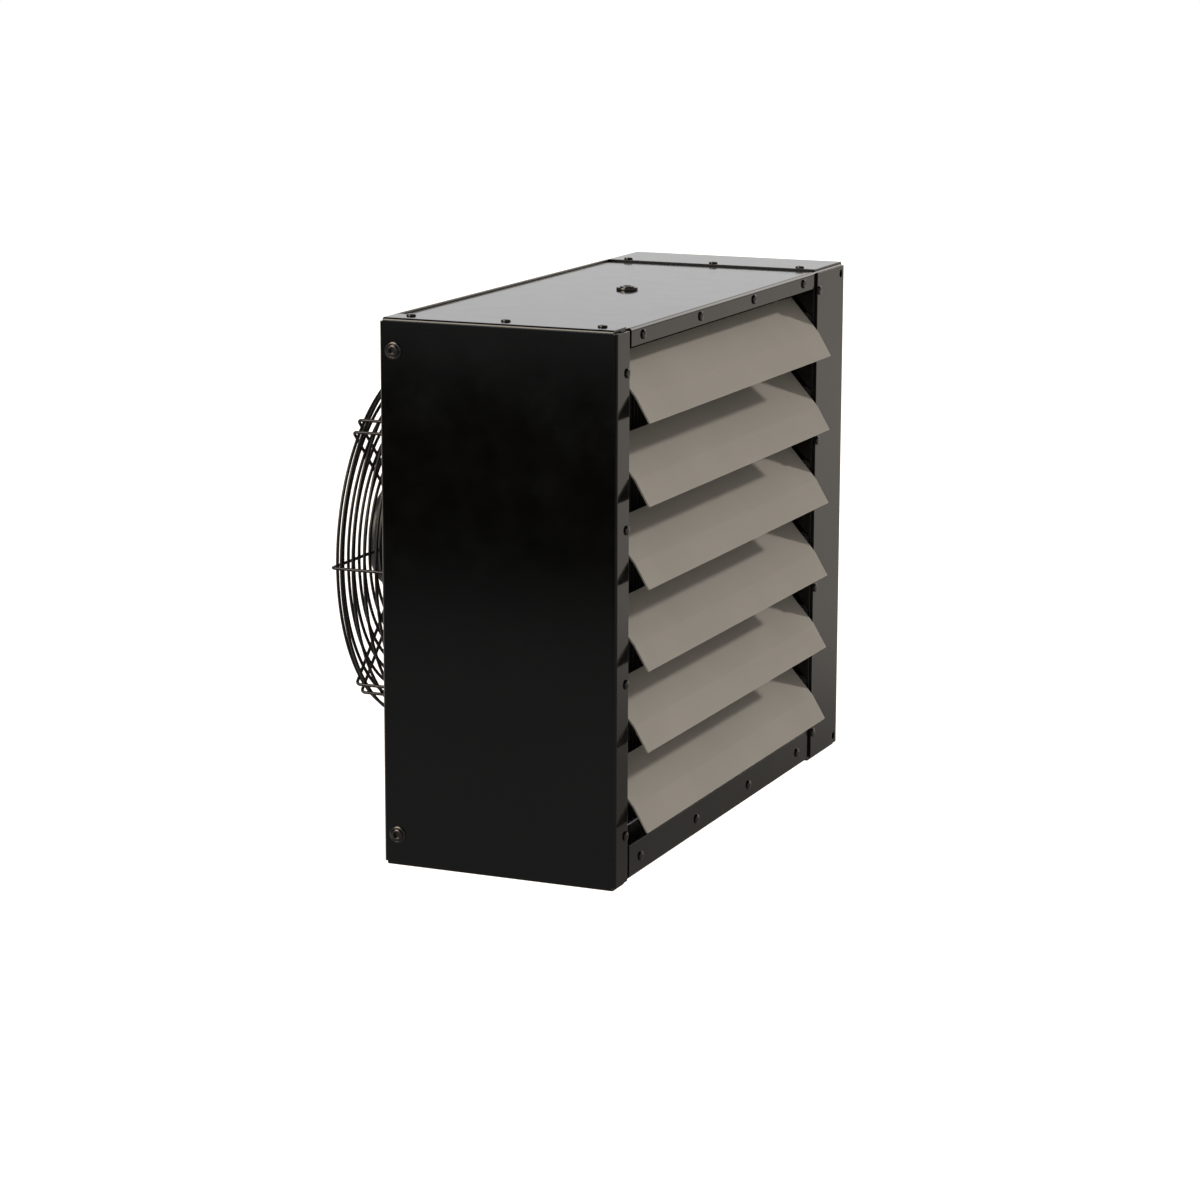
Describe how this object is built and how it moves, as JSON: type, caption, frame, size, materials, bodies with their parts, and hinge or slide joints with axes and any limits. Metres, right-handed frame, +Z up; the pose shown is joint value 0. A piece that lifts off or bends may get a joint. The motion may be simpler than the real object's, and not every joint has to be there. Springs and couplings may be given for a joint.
{
  "type": "ceiling mounted fan heater",
  "caption": "Suspended sheet-steel air heater with a finned water coil, a rear axial fan in a wire basket and hand-set front louvres.",
  "frame": {"origin": "mouth of the hanging thread in the middle of the top, at the top of its collar", "axes": "+Z up; the louvres face -Y and the fan and its guard stand out at +Y; +X is towards the wide header side with the pipe stubs"},
  "size_m": [0.6269, 0.3709, 0.5048],
  "materials": {
    "casing_paint": "satin powder coat",
    "louvre_paint": "matt powder coat",
    "fan_paint": "satin",
    "guard_paint": "satin",
    "coil_coating": "matt dip coat",
    "black_fixings": "black zinc",
    "zinc_steel": "zinc plated",
    "winding_copper": "enamelled copper",
    "stub_brass": "turned",
    "black_nylon": "moulded",
    "grommet_rubber": "matt"
  },
  "bodies": {
    "casing": {"side_panel_left": "casing_paint", "side_panel_right": "casing_paint", "top_panel": "casing_paint", "bottom_panel": "casing_paint", "rear_panel": "casing_paint", "louvre_bracket_left": "casing_paint", "louvre_bracket_right": "casing_paint", "louvre_rail_top": "casing_paint", "louvre_rail_bottom": "casing_paint", "louvre_bushes": "black_nylon", "coil_fins": "coil_coating", "coil_tubes": "coil_coating", "coil_plate_left": "zinc_steel", "coil_plate_right": "zinc_steel", "coil_rail_top": "zinc_steel", "coil_rail_bottom": "zinc_steel", "supply_header": "coil_coating", "return_header": "coil_coating", "pipe_stubs": "stub_brass", "pipe_grommets": "grommet_rubber", "fan_ring": "fan_paint", "motor_bearings": "zinc_steel", "stator_core": "zinc_steel", "stator_windings": "winding_copper", "motor_housing": "fan_paint", "motor_cap": "fan_paint", "motor_screws": "zinc_steel", "cable_gland": "black_nylon", "guard_plate": "guard_paint", "guard_spokes": "guard_paint", "guard_loops": "guard_paint", "guard_end_rings": "guard_paint", "guard_wall_rings": "guard_paint", "guard_washers": "black_fixings", "guard_screws": "black_fixings", "hanger_rail": "zinc_steel", "hanger_nut": "black_fixings", "hanger_lock_nut": "zinc_steel", "side_bolts": "black_fixings", "side_washers": "black_fixings", "side_nuts": "zinc_steel", "front_screws": "black_fixings", "lid_screws": "black_fixings", "rear_screws": "black_fixings"},
    "fan": {"fan_blades": "fan_paint", "motor_can": "fan_paint", "motor_shaft": "zinc_steel"},
    "louvre_1": {"louvre_1": "louvre_paint", "louvre_1_pivots": "zinc_steel"},
    "louvre_2": {"louvre_2": "louvre_paint", "louvre_2_pivots": "zinc_steel"},
    "louvre_3": {"louvre_3": "louvre_paint", "louvre_3_pivots": "zinc_steel"},
    "louvre_4": {"louvre_4": "louvre_paint", "louvre_4_pivots": "zinc_steel"},
    "louvre_5": {"louvre_5": "louvre_paint", "louvre_5_pivots": "zinc_steel"},
    "louvre_6": {"louvre_6": "louvre_paint", "louvre_6_pivots": "zinc_steel"}
  },
  "joints": [
    {"name": "fan_spin", "type": "hinge", "parent": "casing", "child": "fan", "pos_m": [-0.0255, 0.09, -0.2515], "axis": [0, 1, 0], "continuous": true},
    {"name": "louvre_1_tilt", "type": "hinge", "parent": "casing", "child": "louvre_1", "pos_m": [-0.0255, -0.10232, -0.05133], "axis": [1, 0, 0], "range_deg": [-50, 35]},
    {"name": "louvre_2_tilt", "type": "hinge", "parent": "casing", "child": "louvre_2", "pos_m": [-0.0255, -0.10232, -0.12501], "axis": [1, 0, 0], "range_deg": [-50, 35]},
    {"name": "louvre_3_tilt", "type": "hinge", "parent": "casing", "child": "louvre_3", "pos_m": [-0.0255, -0.10232, -0.19868], "axis": [1, 0, 0], "range_deg": [-50, 35]},
    {"name": "louvre_4_tilt", "type": "hinge", "parent": "casing", "child": "louvre_4", "pos_m": [-0.0255, -0.10232, -0.27236], "axis": [1, 0, 0], "range_deg": [-50, 35]},
    {"name": "louvre_5_tilt", "type": "hinge", "parent": "casing", "child": "louvre_5", "pos_m": [-0.0255, -0.10232, -0.34603], "axis": [1, 0, 0], "range_deg": [-50, 35]},
    {"name": "louvre_6_tilt", "type": "hinge", "parent": "casing", "child": "louvre_6", "pos_m": [-0.0255, -0.10232, -0.41971], "axis": [1, 0, 0], "range_deg": [-50, 35]}
  ]
}
